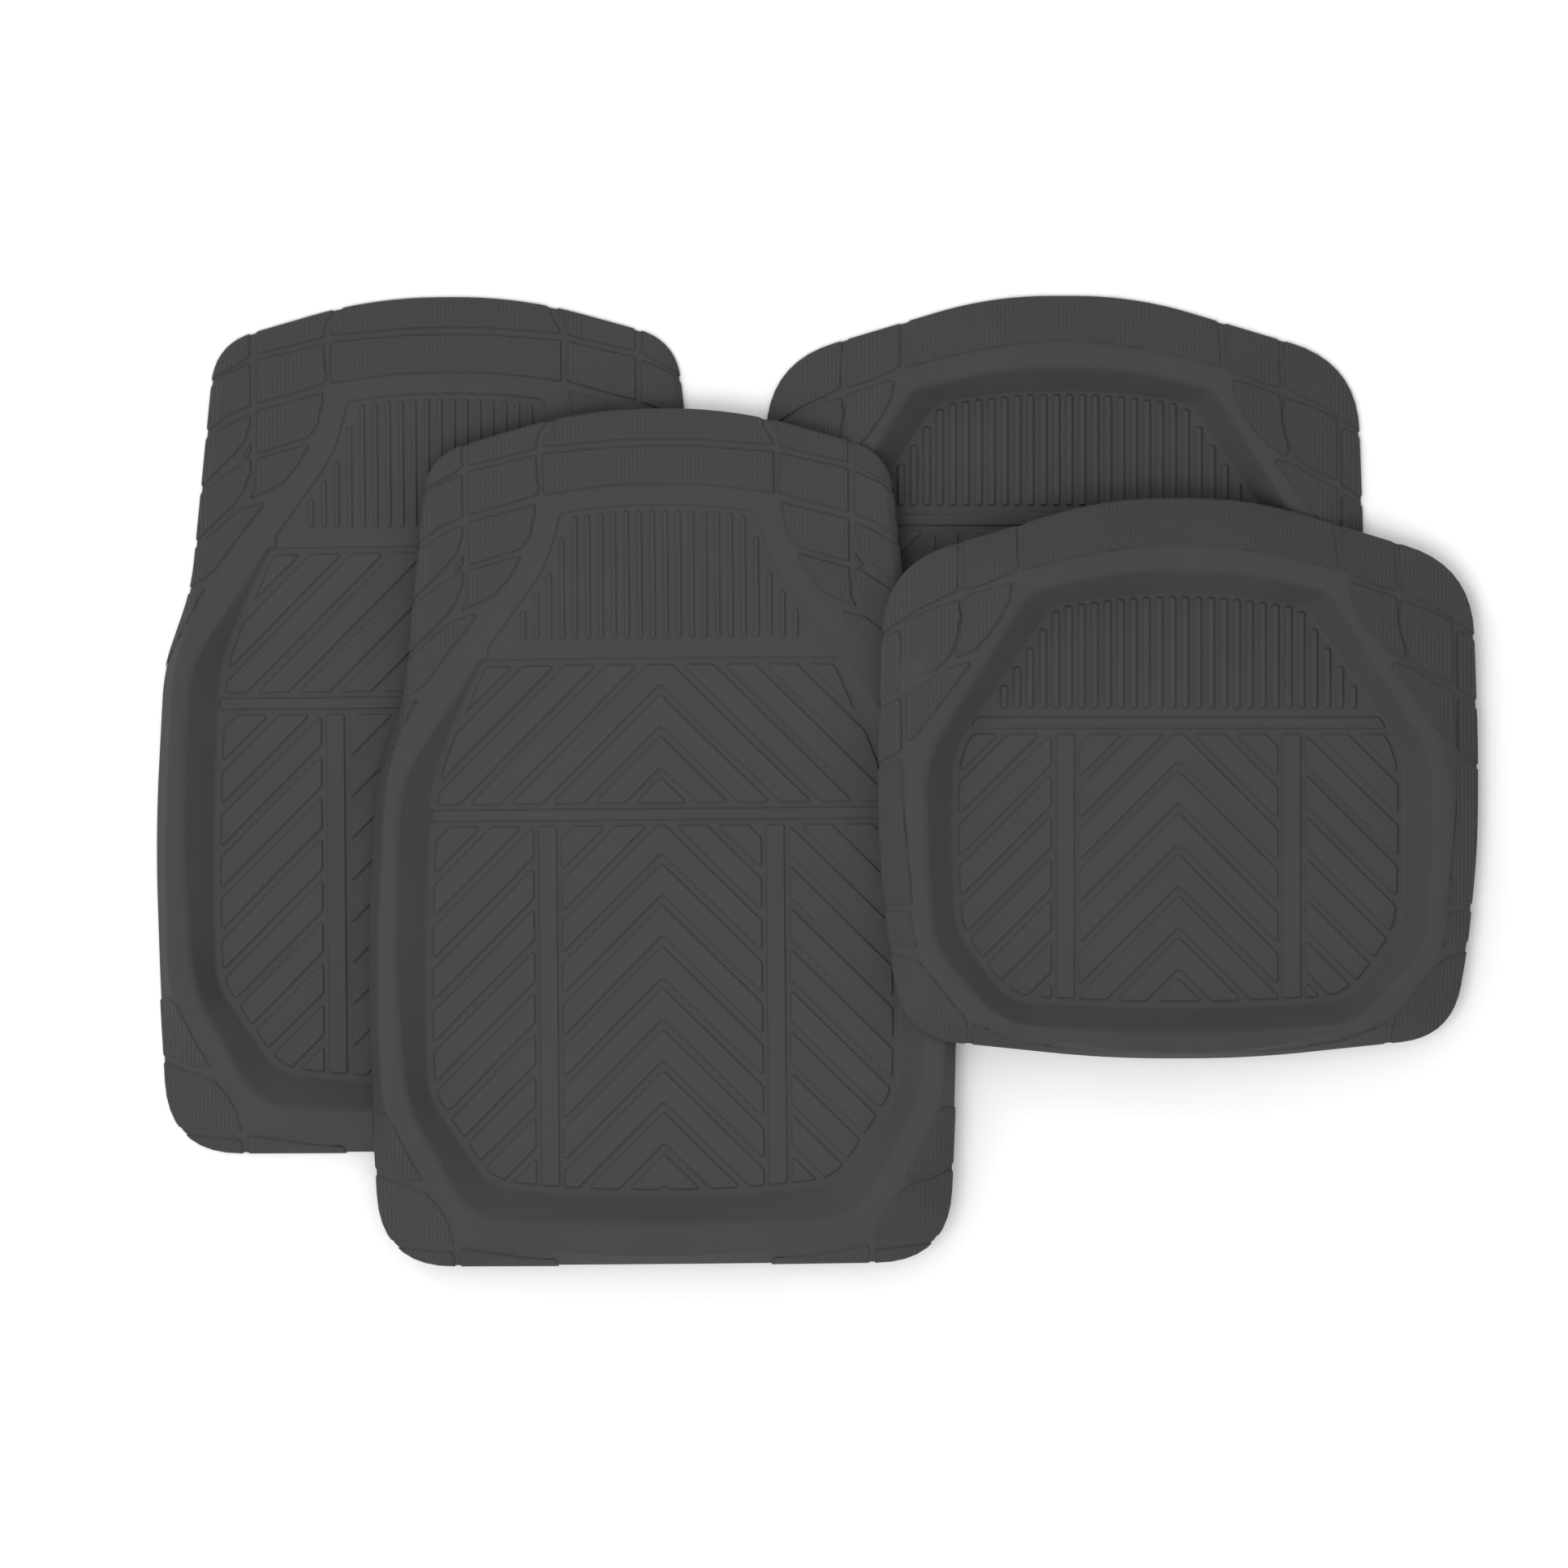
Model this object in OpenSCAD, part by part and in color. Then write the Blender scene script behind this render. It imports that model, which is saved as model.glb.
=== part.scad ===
// Set of four loose rubber car floor mats: two front mats and two rear mats, laid in a fan.
// Every mat is one moulding: a tray with a raised rim, a sloping skirt and a raised tread.

/* [Front mats] */
// Length of a front mat, from its toe edge to its heel edge
front_len = 728; // [640:1:820]
// Width of a front mat
front_wid = 502; // [430:1:580]
// Length of the low toe end, from the toe edge to the tray
toe_len = 210; // [180:1:240]
// Width of the tray where it meets the toe end
toe_wid = 304; // [250:1:320]
// Height of the low toe end
toe_h = 6; // [5:0.5:8]
// Length over which the rim rises from the toe end to its full height
ramp_len = 115; // [90:1:140]

/* [Rear mats] */
// Length of a rear mat
rear_len = 474; // [420:1:540]
// Width of a rear mat
rear_wid = 512; // [440:1:590]

/* [Rim] */
// Height of the raised rim above the ground
rim_h = 24; // [18:0.5:30]
// Thickness of the rubber
rubber_t = 3; // [2:0.25:4]
// Width of the flat top of the rim
rim_top = 14; // [10:0.5:18]
// Width that the inner wall covers as it slopes down to the floor
wall_run = 26; // [20:0.5:30]
// Width that the skirt covers as it slopes down to the outer edge at the side of a front mat
front_skirt = 10; // [7:0.5:14]
// Width that the skirt covers at the side of a rear mat
rear_skirt = 23; // [16:0.5:28]

/* [Tread] */
// Distance from one row of chevron tiles to the next
tile_pitch = 35.2; // [28:0.1:44]
// Width of the channels between the rows, measured along the mat
tile_channel = 7.5; // [5:0.5:10]
// Height of the tiles, ribs and bars above the floor
tread_h = 1.5; // [1:0.25:2.5]
// Corner radius of the tiles
tile_r = 3; // [1:0.5:5]
// Bare margin round the tread
tread_margin = 5; // [3:0.5:8]
// Distance of each long bar from the middle of the mat
bar_at = 96.5; // [80:0.5:110]
// Width of each long bar
bar_w = 14.5; // [8:0.5:18]
// Width of the channel on each side of a bar
bar_channel = 5.5; // [4:0.5:8]
// Width of the cross bar
cross_w = 8; // [5:0.5:12]
// Distance from one fine rib to the next
rib_pitch = 11; // [8:0.5:14]
// Width of a fine rib
rib_w = 6.5; // [4:0.5:7.5]

/* [Layout] */
// How far the upper front mat lies to the right of the lower one
front_right = 180.8; // [150:1:200]
// How far the upper front mat lies behind the lower one
front_back = 95.2; // [70:1:130]
// How far the upper rear mat lies to the right of the lower one
rear_right = 97.3; // [80:1:120]
// How far the upper rear mat lies behind the lower one
rear_back = 172.5; // [150:1:200]
// Distance from the upper front mat to the upper rear mat, across
pair_right = 438.2; // [430:1:446]
// Distance from the upper front mat to the upper rear mat, along
pair_ahead = 50.8; // [30:1:70]
// Turn of both front mats
front_turn = 0.5; // [0:0.1:1]
// Clearance left where one mat lies on another
clearance = 0.3; // [0.2:0.05:0.5]

/* [Hidden] */
blend_steps = 6;
far = 600;
bite = 1;
toe_bow = 0.8;
side_share = 0.99;

// Half sizes and the line where the tray of a front mat begins.
front_x = front_wid / 2;
front_y = front_len / 2;
rear_x = rear_wid / 2;
rear_y = rear_len / 2;
toe_y = front_y - toe_len;
toe_x = toe_wid / 2;

// Half widths at each line of the rim, at the side of a mat.
front_shoulder = front_x - front_skirt;
front_rim = front_shoulder - rim_top;
front_floor = front_rim - wall_run;
rear_shoulder = rear_x - rear_skirt;
rear_rim = rear_shoulder - rim_top - 2;
rear_floor = rear_rim - wall_run + 2;

// Right half of each outline, from the toe edge to the heel edge. A corner is [x, y, blend]:
// the curve leaves the straight sides that far from the corner.
front_outer_half = [
    [62, front_y + 1, 55], [front_x - 55, front_y - 37, 34], [front_x - 33, toe_y - 34, 24],
    [front_x - 8, toe_y - 104, 24], [front_x + 0.5, -90, 60], [front_x - 3, -225, 30],
    [front_x - 10, 3 - front_y, 62], [60, 2 - front_y, 40]];
front_shoulder_half = [
    [60, front_y - 5, 50], [front_x - 61, front_y - 43, 30], [front_x - 40, toe_y - 34, 24],
    [front_shoulder - 8, toe_y - 104, 24], [front_shoulder, -90, 60],
    [front_shoulder - 2, -225, 28], [front_x - 66, 30 - front_y, 22], [60, 12 - front_y, 40]];
front_rim_half = [
    [60, toe_y + toe_bow, 20], [toe_x, toe_y, 3], [toe_x + 24, toe_y - 36, 20],
    [front_rim - 6, toe_y - 103, 30], [front_rim + 1, -90, 60],
    [front_rim - 8, -222, 30], [front_x - 87, 42 - front_y, 30], [60, 37 - front_y, 40]];
front_floor_half = [
    [60, toe_y + toe_bow - 1.5, 20], [toe_x - 1, toe_y - 1.5, 3], [toe_x + 14, toe_y - 33, 16],
    [front_floor - 7, toe_y - 97, 30], [front_floor, -90, 60],
    [front_floor - 1, -216, 18], [front_x - 103, 70 - front_y, 20], [60, 61 - front_y, 40]];

rear_outer_half = [
    [60, rear_y + 1, 50], [rear_x - 6, rear_y - 56, 58], [rear_x, 20, 40],
    [rear_x - 1, -60, 30], [rear_x - 9, -142, 24], [rear_x - 23, 18 - rear_y, 44],
    [60, -rear_y, 50]];
rear_shoulder_half = [
    [60, rear_y - 40, 50], [rear_shoulder - 96, rear_y - 59, 9], [rear_shoulder - 4, 20, 28],
    [rear_shoulder - 1, -60, 30], [rear_shoulder - 9, -146, 24],
    [rear_x - 73, 35 - rear_y, 22], [60, 6 - rear_y, 50]];
rear_rim_half = [
    [50, rear_y - 60, 40], [rear_rim - 88, rear_y - 79, 9], [rear_rim, 16, 26],
    [rear_rim - 1, -60, 30], [rear_rim - 6, -142, 28], [rear_x - 104, 30 - rear_y, 28],
    [50, 22 - rear_y, 40]];
rear_floor_half = [
    [40, rear_y - 81, 30], [rear_floor - 86, rear_y - 90, 9], [rear_floor - 1, 24, 24],
    [rear_floor, -60, 30], [rear_floor - 3, -129, 20], [rear_x - 111, 48 - rear_y, 22],
    [40, 43 - rear_y, 30]];

// Ribbed panel of the toe end, open towards the tray.
toe_panel_half = [
    [40, front_y - 80, 30], [toe_x - 68, front_y - 86, 5], [toe_x - 55, front_y - 132, 20],
    [toe_x - 5, toe_y + 9, 2], [toe_x - 5, toe_y - bite, 0.4]];
rib_end = 16;

// Rows of tiles and cross bars, measured from the middle of a mat.
front_apex = 130.8;
front_cross_y = 18;
rear_apex = 155.6;
rear_cross_y = 45.5;
cross_gap = 4.5;

// Where each mat lies before the whole set is centred.
upper_front = [0, 0];
lower_front = [-front_right, front_back];
upper_rear = [pair_right, pair_ahead];
lower_rear = upper_rear + [-rear_right, rear_back];

// The upper rear mat leans: the plane of its underside clears the rim of the upper front mat
// on its left and the rim of the lower rear mat on its right.
seat_side = front_shoulder + sin(front_turn) * (rear_y - pair_ahead);
left_seat = seat_side - pair_right;
right_seat = rear_shoulder - rear_right;
upper_z = rim_h + clearance;
rear_tilt = atan(upper_z / (right_seat - left_seat));
rear_z = upper_z + right_seat * tan(rear_tilt);

function lerp(a, b, u) = a + (b - a) * u;
function flat(p) = [p.x, p.y];
function toward(a, b, d) = a + (b - a) * min(0.5, d / norm(b - a));
function ease(u) = let (v = min(1, max(0, u))) v * v * (3 - 2 * v);
function turned(p, a) = [p.x * cos(a) - p.y * sin(a), p.x * sin(a) + p.y * cos(a)];

// The left half of an outline mirrors the right half.
function both_halves(half) = concat(half, [
    for (i = [len(half) - 1:-1:0]) [-half[i].x, half[i].y, half[i][2]]]);

// A corner [x, y, blend] is a quadratic curve between two points on its straight sides. Where a
// side is too short for the curves at both of its ends, they share it.
function leave(at, other) =
    let (side = norm(flat(other) - flat(at)), both = (at[2] + other[2]) / side_share)
    lerp(flat(at), flat(other), at[2] / max(side, both));
function corner(before, at, after) =
    let (a = leave(at, before), b = leave(at, after))
    [for (k = [0:blend_steps])
        let (u = k / blend_steps)
        lerp(lerp(a, flat(at), u), lerp(flat(at), b, u), u)];

function outline(half) =
    let (c = both_halves(half), n = len(c))
    [for (i = [0:n - 1]) each corner(c[(i + n - 1) % n], c[i], c[(i + 1) % n])];

// A ring of points at one height, or at a height for each point.
function level(points, z) = [for (p = points) [p.x, p.y, z]];
function inset(points, others, d) = [for (i = [0:len(points) - 1]) toward(points[i], others[i], d)];

function rise(y) = ease((toe_y - y) / ramp_len);
function front_top(points) = [for (p = points) [p.x, p.y, lerp(toe_h, rim_h, rise(p.y))]];
function front_under(points) = [for (p = points) [p.x, p.y, (rim_h - rubber_t) * rise(p.y)]];

// A closed skin over a stack of rings, from the floor of the tray over the rim and back below.
module skin(rings) {
    n = len(rings[0]);
    last = len(rings) - 1;
    points = [for (r = rings) each r];
    sides = [
        for (j = [0:last - 1], i = [0:n - 1])
            let (a = j * n + i, b = j * n + (i + 1) % n)
            each [[a, a + n, b + n], [a, b + n, b]]];
    top = [for (i = [0:n - 1]) i];
    bottom = [for (i = [n - 1:-1:0]) last * n + i];
    polyhedron(points = points, faces = concat([top], sides, [bottom]));
}

module front_shell() {
    outer = outline(front_outer_half);
    shoulder = outline(front_shoulder_half);
    rim = outline(front_rim_half);
    base = outline(front_floor_half);
    skin([
        level(base, rubber_t), front_top(rim), front_top(shoulder), level(outer, rubber_t),
        level(outer, 0), level(inset(outer, shoulder, rubber_t), 0),
        front_under(inset(shoulder, rim, rubber_t)), front_under(rim), level(base, 0)]);
}

module rear_shell() {
    outer = outline(rear_outer_half);
    shoulder = outline(rear_shoulder_half);
    rim = outline(rear_rim_half);
    base = outline(rear_floor_half);
    under = rim_h - rubber_t;
    skin([
        level(base, rubber_t), level(rim, rim_h), level(shoulder, rim_h), level(outer, rubber_t),
        level(outer, 0), level(inset(outer, shoulder, rubber_t), 0),
        level(inset(shoulder, rim, rubber_t), under), level(rim, under), level(base, 0)]);
}

// Rows of upward chevrons; apex is the lower tip of one row on the middle line.
module chevrons(apex) {
    rows = ceil(far / tile_pitch);
    band = tile_pitch - tile_channel;
    for (k = [-rows:rows]) {
        y = apex + k * tile_pitch;
        polygon([[0, y], [far, y - far], [far, y + band - far], [0, y + band],
            [-far, y + band - far], [-far, y - far]]);
    }
}

module rounded(r) {
    offset(r = r, $fn = 16) offset(delta = -r) children();
}

// The part of the floor that may carry tread, between two lines across the mat.
module floor_zone(half, y_low, y_high) {
    intersection() {
        offset(delta = -tread_margin) polygon(outline(half));
        translate([-far, y_low]) square([2 * far, y_high - y_low]);
    }
}

module side_column(side) {
    inner = bar_at + bar_w / 2 + bar_channel;
    translate([side > 0 ? inner : -far - inner, -far]) square([far, 2 * far]);
}

module middle_column() {
    half = bar_at - bar_w / 2 - bar_channel;
    translate([-half, -far]) square([2 * half, 2 * far]);
}

module long_bars() {
    for (side = [-1, 1]) translate([side * bar_at - bar_w / 2, -far]) square([bar_w, 2 * far]);
}

module cross_bar(half, y) {
    intersection() {
        polygon(outline(half));
        translate([-far, y - cross_w / 2]) square([2 * far, cross_w]);
    }
}

// Ribs along the mat, clipped by the children.
module ribs() {
    count = 2 * floor(far / rib_pitch / 2);
    intersection() {
        children();
        for (i = [0:count - 1])
            translate([(i - (count - 1) / 2) * rib_pitch - rib_w / 2, -far])
                square([rib_w, 2 * far]);
    }
}

// Tiles in three columns with a bar between each two, below a line across the mat.
module column_tread(half, apex, y_high) {
    rounded(tile_r) intersection() {
        floor_zone(half, -far, y_high);
        chevrons(apex);
        union() {
            side_column(-1);
            middle_column();
            side_column(1);
        }
    }
    intersection() {
        floor_zone(half, -far, y_high);
        long_bars();
    }
}

// Lifts a flat tread pattern off the floor at one height, rooted in the rubber below.
module raise(z, height) {
    translate([0, 0, z - bite]) linear_extrude(height + bite) children();
}

module front_mat() {
    cross_low = front_cross_y - cross_w / 2 - cross_gap;
    cross_high = front_cross_y + cross_w / 2 + cross_gap;
    panel_z = toe_h - tread_h;
    difference() {
        front_shell();
        translate([0, 0, panel_z]) linear_extrude(toe_h) polygon(outline(toe_panel_half));
    }
    raise(panel_z, tread_h) ribs() intersection() {
        offset(delta = -tread_margin) polygon(outline(toe_panel_half));
        translate([-far, toe_y + rib_end]) square([2 * far, far]);
    }
    raise(rubber_t, tread_h) {
        rounded(tile_r) intersection() {
            floor_zone(front_floor_half, cross_high, toe_y);
            chevrons(front_apex);
        }
        cross_bar(front_floor_half, front_cross_y);
        column_tread(front_floor_half, front_apex, cross_low);
    }
}

module rear_mat() {
    cross_low = rear_cross_y - cross_w / 2 - cross_gap;
    cross_high = rear_cross_y + cross_w / 2 + cross_gap;
    rear_shell();
    raise(rubber_t, tread_h) {
        ribs() floor_zone(rear_floor_half, cross_high + tread_margin, far);
        cross_bar(rear_floor_half, rear_cross_y);
        column_tread(rear_floor_half, rear_apex, cross_low);
    }
}

// Plan outlines where they lie, and the middle of the box round them all.
front_plan = [for (p = outline(front_outer_half)) turned(p, front_turn)];
rear_plan = outline(rear_outer_half);
tilted_plan = [
    for (p = rear_plan, z = [0, rubber_t]) [p.x * cos(rear_tilt) + z * sin(rear_tilt), p.y]];
all_points = concat(
    [for (p = front_plan) p + upper_front], [for (p = front_plan) p + lower_front],
    [for (p = rear_plan) p + lower_rear], [for (p = tilted_plan) p + upper_rear]);
xs = [for (p = all_points) p.x];
ys = [for (p = all_points) p.y];
middle = [(min(xs) + max(xs)) / 2, (min(ys) + max(ys)) / 2];

module place(at, z) {
    translate([at.x - middle.x, at.y - middle.y, z]) children();
}

module front_mat_lower() {
    color("#464648") place(lower_front, 0) rotate(front_turn) front_mat();
}

module front_mat_upper() {
    color("#464648") place(upper_front, upper_z) rotate(front_turn) front_mat();
}

module rear_mat_lower() {
    color("#464648") place(lower_rear, 0) rear_mat();
}

module rear_mat_upper() {
    color("#464648") place(upper_rear, rear_z) rotate([0, rear_tilt, 0]) rear_mat();
}

front_mat_lower();
front_mat_upper();
rear_mat_lower();
rear_mat_upper();
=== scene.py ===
# %% [markdown]
# # A set of four car floor mats in moulded rubber
#
# Two front mats and two rear mats lie in a pile, each partly on the next. Every mat is one moulding:
# a shallow tray with a raised rim, a skirt that slopes down to the carpet, a flat toe end on the
# front mats, and a raised tread. The frame gives each mat's place. This lesson models one front mat
# and one rear mat in millimetres, by primitives and edit-mode tools, and then lays two copies of each
# in the places of the frame. Lengths are in millimetres unless a title says metres.

# %% Load the frame
import math

import bmesh
import bpy
from mathutils import Matrix, Vector


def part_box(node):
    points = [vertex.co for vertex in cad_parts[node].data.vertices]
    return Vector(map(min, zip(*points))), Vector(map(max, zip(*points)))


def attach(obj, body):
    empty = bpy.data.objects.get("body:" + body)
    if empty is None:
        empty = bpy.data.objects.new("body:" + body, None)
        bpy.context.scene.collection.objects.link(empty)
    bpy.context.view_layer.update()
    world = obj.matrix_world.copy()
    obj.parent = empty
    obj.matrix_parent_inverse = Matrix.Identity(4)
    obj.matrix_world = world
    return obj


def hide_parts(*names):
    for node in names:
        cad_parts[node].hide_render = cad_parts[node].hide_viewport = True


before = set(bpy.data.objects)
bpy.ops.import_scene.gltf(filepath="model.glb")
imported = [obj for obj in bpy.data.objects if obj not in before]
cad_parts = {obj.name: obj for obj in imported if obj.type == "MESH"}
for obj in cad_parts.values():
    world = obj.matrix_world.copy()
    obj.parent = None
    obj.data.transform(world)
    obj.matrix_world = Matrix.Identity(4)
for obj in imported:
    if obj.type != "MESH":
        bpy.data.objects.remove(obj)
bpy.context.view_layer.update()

print("nodes:", sorted(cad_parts))

# %% [markdown]
# ## Camera
#
# The set is seen from straight above. A near camera would look along some skirts and across others,
# so this one stands far away along Z, and its long lens keeps every skirt and rim at its true size.
# The lens follows from the height and from the width of floor that the view takes in.

# %% Camera, in metres
VIEW_WIDTH = 1.333
VIEW_MIDDLE = Vector((-0.0276, -0.0028, 0.0))
CAMERA_HEIGHT = 12.0
CAMERA_REACH = 100.0
SENSOR_MM = 36.0

camera_data = bpy.data.cameras.new("camera")
camera_data.sensor_width = SENSOR_MM
camera_data.lens = SENSOR_MM * CAMERA_HEIGHT / VIEW_WIDTH
camera_data.clip_end = CAMERA_REACH
camera = bpy.data.objects.new("camera", camera_data)
bpy.context.scene.collection.objects.link(camera)
camera.location = VIEW_MIDDLE + Vector((0, 0, CAMERA_HEIGHT))
bpy.context.scene.camera = camera
print("lens:", round(camera_data.lens, 1), "mm")

# %% [markdown]
# ## Selecting by code
#
# In a window, the faces to work on are clicked. Here a test finds them by their place or direction,
# goes over the whole mesh in edit mode, and selects what passes. The next operator then acts on the
# selection, so each helper first makes sure that nothing else is left selected.

# %% Helpers that select
def only(*objects):
    """In object mode: selects these objects and no others, and makes the first one active."""
    if bpy.context.object and bpy.context.object.mode != "OBJECT":
        bpy.ops.object.mode_set(mode="OBJECT")
    bpy.ops.object.select_all(action="DESELECT")
    for o in objects:
        o.select_set(True)
    bpy.context.view_layer.objects.active = objects[0]


def pick(kind, test):
    """In edit mode: selects the faces, edges or verts that pass the test, and no others."""
    bpy.context.tool_settings.mesh_select_mode = (kind == "verts", kind == "edges", kind == "faces")
    data = bpy.context.object.data
    mesh = bmesh.from_edit_mesh(data)
    chosen = [part for part in getattr(mesh, kind) if test(part)]
    for part in (*mesh.faces, *mesh.edges, *mesh.verts):
        part.select_set(False)
    for part in chosen:
        part.select_set(True)
    mesh.select_flush_mode()
    bmesh.update_edit_mesh(data)
    return len(chosen)


def edit(obj):
    """Takes one object into edit mode."""
    only(obj)
    bpy.ops.object.mode_set(mode="EDIT")


def done(obj):
    """Leaves edit mode, and hands the object on."""
    bpy.ops.object.mode_set(mode="OBJECT")
    return obj


# %% [markdown]
# ## Outlines
#
# A mat is the same on both sides of its middle line, so an outline is written as its right half: a
# list of corners, each with the distance at which the curve leaves the straight sides. The four
# outlines of a mat are its outer edge, the shoulder where the skirt starts, the inner edge of the
# rim, and the floor of the tray. They are the ones that the frame's solids have.

# %% Corner lists: x, y and the reach of the curve
FRONT_OUTER = [(62, 365, 55), (196, 327, 34), (218, 120, 24), (243, 50, 24), (251.5, -90, 60),
               (248, -225, 30), (241, -361, 62), (60, -362, 40)]
FRONT_SHOULDER = [(60, 359, 50), (190, 321, 30), (211, 120, 24), (233, 50, 24), (241, -90, 60),
                  (239, -225, 28), (185, -334, 22), (60, -352, 40)]
FRONT_RIM = [(60, 154.8, 20), (152, 154, 3), (176, 118, 20), (221, 51, 30), (228, -90, 60),
             (219, -222, 30), (164, -322, 30), (60, -327, 40)]
FRONT_FLOOR = [(60, 153.3, 20), (151, 152.5, 3), (166, 121, 16), (194, 57, 30), (201, -90, 60),
               (200, -216, 18), (148, -294, 20), (60, -303, 40)]
REAR_OUTER = [(60, 238, 50), (250, 181, 58), (256, 20, 40), (255, -60, 30), (247, -142, 24),
              (233, -219, 44), (60, -237, 50)]
REAR_SHOULDER = [(60, 197, 50), (137, 178, 9), (229, 20, 28), (232, -60, 30), (224, -146, 24),
                 (183, -202, 22), (60, -231, 50)]
REAR_RIM = [(50, 177, 40), (129, 158, 9), (217, 16, 26), (216, -60, 30), (211, -142, 28),
            (152, -207, 28), (50, -215, 40)]
REAR_FLOOR = [(40, 156, 30), (107, 147, 9), (192, 24, 24), (193, -60, 30), (190, -129, 20),
              (145, -189, 22), (40, -194, 30)]
TOE_PANEL = [(40, 284, 30), (84, 278, 5), (97, 232, 20), (147, 163, 2), (147, 148, 0.4)]

# %% Curved outlines
CURVE_STEPS = 9


def mix(a, b, u):
    return a + (b - a) * u


def curve(a, corner, b, steps):
    """The points of a quadratic curve from a to b, which starts and ends in line with the corner."""
    shares = [k / steps for k in range(steps + 1)]
    return [mix(mix(a, corner, u), mix(corner, b, u), u) for u in shares]


def outline(half, steps=CURVE_STEPS):
    """The points of a closed outline from its right half: every corner is a curve."""
    corners = [(Vector((x, y)), reach) for x, y, reach in half]
    corners += [(Vector((-x, y)), reach) for x, y, reach in reversed(half)]
    points = []
    for i, (at, reach) in enumerate(corners):
        before, after = corners[i - 1][0], corners[(i + 1) % len(corners)][0]
        a = at + (before - at).normalized() * reach
        b = at + (after - at).normalized() * reach
        points += curve(a, at, b, steps)
    return points


print("front outline:", len(outline(FRONT_OUTER)), "points")

# %% Heights
# The toe end of a front mat is a flat plate. From TOE_Y towards the heel, the rim rises along a ramp.
TOE_Y = 154.0
TOE_H = 6.0
RAMP = 115.0
RIM_H = 24.0
RUBBER = 3.0
TREAD_H = 1.5


def rise(y):
    """How far the rim has risen from the toe end, from 0 to 1."""
    u = min(1.0, max(0.0, (TOE_Y - y) / RAMP))
    return u * u * (3 - 2 * u)


def front_top(y):
    """The height of a front mat's rim."""
    return mix(TOE_H, RIM_H, rise(y))


def front_under(y):
    """The height of the hollow below that rim."""
    return (RIM_H - RUBBER) * rise(y)


print("rim height at the middle of a front mat:", front_top(0.0))

# %% [markdown]
# ## The shell of a mat
#
# The real shell is pressed from a sheet of rubber, so it is one skin of even thickness that runs from
# the floor of the tray up the wall, over the rim, down the skirt, round the edge and back below. It
# could be a solidified surface, but then the thick toe end would be lost. Here a circle is laid on the
# first outline, and its edge is extruded to the next outline again and again. Each bend of the section
# gets a few rings of its own, so that every edge has the soft radius of a moulding.

# %% Rounded section and skin
# A bend's curve takes up no more than BEND_SHARE of the sides next to it, so that two never meet. The
# radius of a blank doesn't matter, because each of its vertices is put in place afterwards.
BEND_STEPS = 3
BEND_SHARE = 0.45
BLANK_RADIUS = 200.0


def rounded_section(section, radii):
    """A section's points with each inner bend replaced by a short curve."""
    out = [section[0]]
    for before, at, after, radius in zip(section, section[1:], section[2:], radii):
        reach_a = min(radius, BEND_SHARE * (before - at).length)
        reach_b = min(radius, BEND_SHARE * (after - at).length)
        a = at + (before - at).normalized() * reach_a
        b = at + (after - at).normalized() * reach_b
        out += curve(a, at, b, BEND_STEPS)
    return out + [section[-1]]


def skin(name, rings, radii):
    """A closed shell through a stack of rings of points, with its bends rounded."""
    sections = [rounded_section(list(section), radii) for section in zip(*rings)]
    around, levels = len(sections), len(sections[0])
    bpy.ops.mesh.primitive_circle_add(vertices=around, radius=BLANK_RADIUS)
    obj = bpy.context.object
    obj.name = name
    edit(obj)
    mesh = bmesh.from_edit_mesh(obj.data)
    spot = mesh.verts.layers.int.new("spot")
    for i, v in enumerate(mesh.verts):
        v[spot] = i
        v.co = sections[i][0]
    bpy.ops.mesh.select_all(action="SELECT")
    bpy.ops.mesh.edge_face_add()
    pick("verts", lambda v: True)
    for level in range(1, levels):
        bpy.ops.mesh.extrude_edges_move()
        mesh = bmesh.from_edit_mesh(obj.data)
        spot = mesh.verts.layers.int["spot"]
        for v in mesh.verts:
            if v.select:
                v.co = sections[v[spot]][level]
        bmesh.update_edit_mesh(obj.data)
    bpy.ops.mesh.edge_face_add()
    bpy.ops.mesh.select_all(action="SELECT")
    bpy.ops.mesh.normals_make_consistent(inside=False)
    done(obj)
    obj.data.attributes.remove(obj.data.attributes["spot"])
    print(name, "rings:", levels, "faces:", len(obj.data.polygons))
    return obj

# %% Moving outlines
def lift(points, height):
    """Points of an outline at one height, or at the height that a function gives for their y."""
    return [Vector((p.x, p.y, height(p.y) if callable(height) else height)) for p in points]


def toward(points, others, distance):
    """Points of one outline moved level towards those of another, but never past half way."""
    out = []
    for p, q in zip(points, others):
        gap = (q - p).length
        out.append(p + (q - p) * min(0.5, distance / gap))
    return out


# %% The front shell and the rear shell
# The outer edge stands back by EDGE_BACK, which leaves room for the raised fields of the border.
# The radii belong to the bends of the section: the foot of the wall, the rim, the shoulder, two at
# the outer edge and one below it, and the three bends of the underside.
EDGE_BACK = 1.2
FLOOR_LIP = 4.0
OVERSHOOT = 4.0
SECTION_RADII = (3.0, 4.5, 4.0, 1.0, 0.6, 0.6, 3.0, 3.0, 3.0)


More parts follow.
